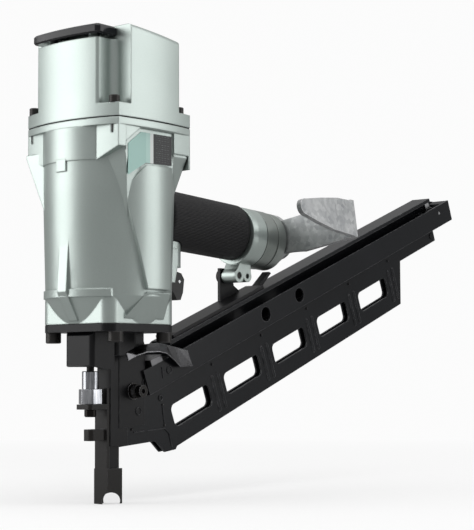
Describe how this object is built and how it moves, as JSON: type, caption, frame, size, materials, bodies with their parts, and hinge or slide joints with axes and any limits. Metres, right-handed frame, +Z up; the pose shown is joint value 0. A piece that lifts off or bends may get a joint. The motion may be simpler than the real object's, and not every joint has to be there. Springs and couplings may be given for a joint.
{
  "type": "pneumatic nail gun",
  "caption": "Pneumatic strip framing nailer with slanted magazine, contact foot, trigger, rubber grip and swinging rafter hook.",
  "frame": {"origin": "tip of the contact foot, on the drive axis", "axes": "+X from the nose back to the handle and the rear of the magazine, +Y away from the label side, +Z up along the drive axis from the contact foot to the exhaust cap"},
  "size_m": [0.5643, 0.1538, 0.3768],
  "materials": {
    "housing_paint": "satin metallic paint",
    "label_print": "printed sheet",
    "gasket_rubber": "matte",
    "deflector_black": "gloss",
    "dark_fastener": "blackened",
    "liner_alloy": "machined",
    "bright_steel": "ground",
    "bumper_rubber": "matte",
    "valve_plastic": "moulded",
    "spring_steel": "drawn wire",
    "black_steel": "satin black coating",
    "foot_steel": "brown-black phosphate",
    "zinc_bright": "bright zinc",
    "trigger_black": "moulded",
    "grip_rubber": "fine ribbed",
    "end_cap_paint": "satin",
    "hook_steel": "galvanised",
    "magazine_black": "satin black coating",
    "feeder_steel": "machined"
  },
  "bodies": {
    "frame": {"main_housing": "housing_paint", "rating_label": "label_print", "cap_gasket": "gasket_rubber", "exhaust_cap": "housing_paint", "exhaust_deflector": "deflector_black", "deflector_screws": "dark_fastener", "cap_bolts": "dark_fastener", "cylinder_liner": "liner_alloy", "liner_seal": "gasket_rubber", "piston_bumper": "bumper_rubber", "head_valve_spring": "spring_steel", "nose_gasket": "gasket_rubber", "nose_body": "black_steel", "nose_bolts": "dark_fastener", "guide_cover": "black_steel", "push_lever_spring": "spring_steel", "trigger_pin": "bright_steel", "valve_bushing": "valve_plastic", "plunger_spring": "spring_steel", "grip_sleeve": "grip_rubber", "end_cap_gasket": "gasket_rubber", "end_cap": "end_cap_paint", "end_cap_bolts": "dark_fastener", "hook_retainer": "spring_steel", "magazine_plate_near": "magazine_black", "magazine_plate_far": "magazine_black", "magazine_channel": "magazine_black", "magazine_rear_cap": "valve_plastic", "magazine_rivets": "black_steel", "magazine_bracket": "black_steel", "bracket_bolt": "dark_fastener", "magazine_screw": "bright_steel", "screw_spring": "spring_steel"},
    "drive_piston": {"piston": "liner_alloy", "piston_ring": "gasket_rubber", "driver_blade": "bright_steel"},
    "head_valve": {"head_valve": "valve_plastic"},
    "push_lever": {"push_lever": "foot_steel"},
    "contact_foot": {"contact_foot": "foot_steel"},
    "depth_adjuster": {"adjuster_nut": "zinc_bright", "adjuster_sleeve": "zinc_bright"},
    "trigger": {"trigger": "trigger_black", "trigger_arm_pin": "bright_steel"},
    "trigger_arm": {"trigger_arm": "bright_steel"},
    "trigger_plunger": {"trigger_plunger": "bright_steel"},
    "feeder": {"nail_feeder": "feeder_steel", "feeder_lever": "deflector_black", "feeder_spring": "spring_steel"},
    "nail_stopper": {"nail_stopper": "bright_steel"},
    "hook": {"rafter_hook": "hook_steel"}
  },
  "joints": [
    {"name": "piston_stroke", "type": "slide", "parent": "frame", "child": "drive_piston", "axis": [0, 0, -1], "range_m": [0, 0.098]},
    {"name": "head_valve_lift", "type": "slide", "parent": "frame", "child": "head_valve", "axis": [0, 0, 1], "range_m": [0, 0.005], "stiffness_N_per_m": 900, "springref_m": -0.004, "deforming": ["head_valve_spring"]},
    {"name": "push_lever_lift", "type": "slide", "parent": "frame", "child": "push_lever", "axis": [0, 0, 1], "range_m": [0, 0.013], "stiffness_N_per_m": 500, "springref_m": -0.012, "deforming": ["push_lever_spring"]},
    {"name": "depth_dial", "type": "hinge", "parent": "contact_foot", "child": "depth_adjuster", "pos_m": [-0.0205, 0, 0.085], "axis": [0, 0, 1], "range_deg": [-722, 722]},
    {"name": "foot_depth", "type": "slide", "parent": "push_lever", "child": "contact_foot", "axis": [0, 0, 1], "range_m": [-0.003, 0.003]},
    {"name": "trigger_pull", "type": "hinge", "parent": "frame", "child": "trigger", "pos_m": [0.06, 0, 0.184], "axis": [0, -1, 0], "range_deg": [0, 10], "stiffness_Nm_per_rad": 0.4, "springref_deg": -20.05},
    {"name": "trigger_arm_swing", "type": "hinge", "parent": "trigger", "child": "trigger_arm", "pos_m": [0.077, 0, 0.181], "axis": [0, 1, 0], "range_deg": [0, 4], "stiffness_Nm_per_rad": 0.05, "springref_deg": -17.19},
    {"name": "trigger_plunger_push", "type": "slide", "parent": "frame", "child": "trigger_plunger", "axis": [0, 0, 1], "range_m": [0, 0.003], "stiffness_N_per_m": 300, "springref_m": -0.003, "deforming": ["plunger_spring"]},
    {"name": "feeder_travel", "type": "slide", "parent": "frame", "child": "feeder", "axis": [0.9336, 0, 0.3584], "range_m": [0, 0.38], "stiffness_N_per_m": 12, "springref_m": -0.25},
    {"name": "nail_stopper_tilt", "type": "hinge", "parent": "frame", "child": "nail_stopper", "pos_m": [0.4848, 0, 0.27179], "axis": [0, 1, 0], "range_deg": [0, 25], "stiffness_Nm_per_rad": 0.05, "springref_deg": -22.92},
    {"name": "rafter_hook_swing", "type": "hinge", "parent": "frame", "child": "hook", "pos_m": [0.20711, 0, 0.22533], "axis": [-0.9981, 0, 0.061], "range_deg": [0, 160]}
  ],
  "couplings": [
    {"joint": "depth_dial", "follows": "foot_depth", "rad_per_m": 4188.8}
  ]
}
